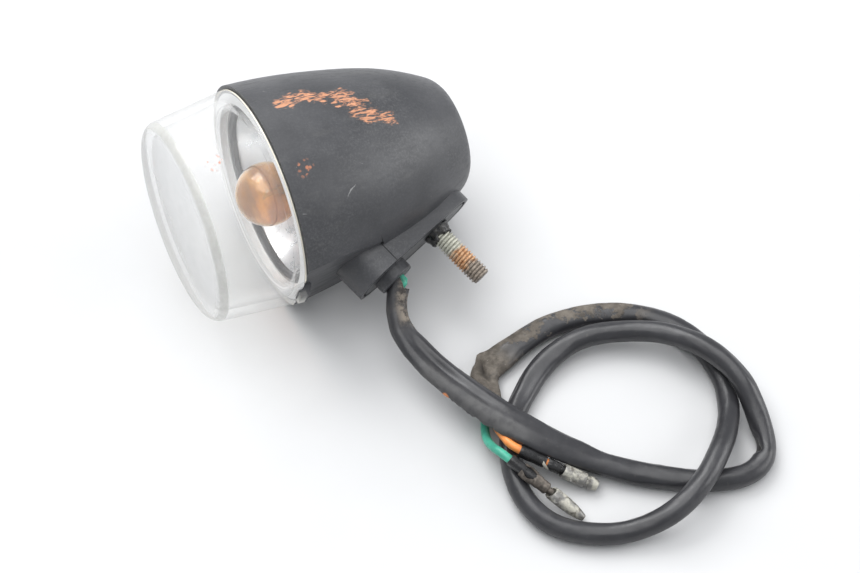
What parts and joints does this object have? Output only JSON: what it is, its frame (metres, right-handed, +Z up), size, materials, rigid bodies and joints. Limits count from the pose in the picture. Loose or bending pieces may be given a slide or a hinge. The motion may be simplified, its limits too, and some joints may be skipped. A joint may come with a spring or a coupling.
{
  "type": "motorcycle turn signal lamp",
  "caption": "Bullet-shaped turn signal with a clear lens, amber bayonet bulb, threaded mounting stud and a free sleeved lead ending in bullet terminals.",
  "frame": {"origin": "on the surface that the lamp lies on, under the middle of the lamp's own box, its free lead left out", "axes": "+X from the lens to the tail, along the lamp's longest side; +Z up from the surface; the mounting foot and the lead are on the -Y side"},
  "size_m": [0.128, 0.1599, 0.0638],
  "materials": {
    "housing_abs": "moulded, lightly scuffed",
    "clear_lens": "clear moulded acrylic",
    "black_rubber": "matte",
    "mirror": "vacuum metallised",
    "holder_steel": "plated sheet",
    "stud_steel": "zinc, partly rusted",
    "brass": "stamped",
    "fibre": "pressed fibre board",
    "amber_glass": "amber bulb glass",
    "bulb_clear": "bulb stem glass",
    "black_glass": "fused glass insulator",
    "solder": "tinned",
    "tungsten": "drawn wire",
    "spring_steel": "drawn wire",
    "sleeve_pvc": "soft PVC tube, semi-matte",
    "green_wire": "PVC insulation",
    "orange_wire": "PVC insulation",
    "boot_black": "insulating boot",
    "crimp_dark": "oxidised",
    "terminal_tin": "tinned brass, dirty"
  },
  "bodies": {
    "lamp_body": {"housing": "housing_abs", "lens_gasket": "black_rubber", "reflector": "mirror", "socket_shell": "holder_steel", "socket_base": "holder_steel", "socket_bracket": "holder_steel", "mounting_stud": "stud_steel", "stud_nut": "stud_steel", "stud_collar": "black_rubber", "ground_terminal": "brass", "wire_grommet": "black_rubber", "wire_green": "green_wire", "wire_orange": "orange_wire", "contact_spring": "spring_steel", "harness_sleeve": "sleeve_pvc", "lead_green": "green_wire", "lead_orange": "orange_wire", "boot_green": "boot_black", "boot_orange": "boot_black", "crimp_green": "crimp_dark", "crimp_orange": "crimp_dark", "bullet_green": "terminal_tin", "bullet_orange": "terminal_tin"},
    "lens_body": {"lens": "clear_lens"},
    "contact_body": {"contact_plate": "brass", "plunger_disc": "fibre", "contact_rivet": "brass"},
    "bulb_body": {"bulb_glass": "amber_glass", "bulb_cap": "brass", "bulb_pins": "brass", "bulb_insulator": "black_glass", "bulb_contact": "solder", "bulb_stem": "bulb_clear", "bulb_leads": "solder", "bulb_filament": "tungsten"}
  },
  "joints": [
    {"name": "lens_pull", "type": "slide", "parent": "lamp_body", "child": "lens_body", "axis": [-0.9962, 0, 0.0872], "range_m": [0, 0.034]},
    {"name": "contact_press", "type": "slide", "parent": "lamp_body", "child": "contact_body", "axis": [0.9962, 0, -0.0872], "range_m": [0, 0.0018], "stiffness_N_per_m": 2500, "springref_m": -0.002, "deforming": ["contact_spring"]},
    {"name": "bulb_turn", "type": "hinge", "parent": "contact_body", "child": "bulb_body", "pos_m": [-0.0161, 0.0052, 0.0319], "axis": [-0.9962, 0, 0.0872], "range_deg": [0, 17]}
  ]
}
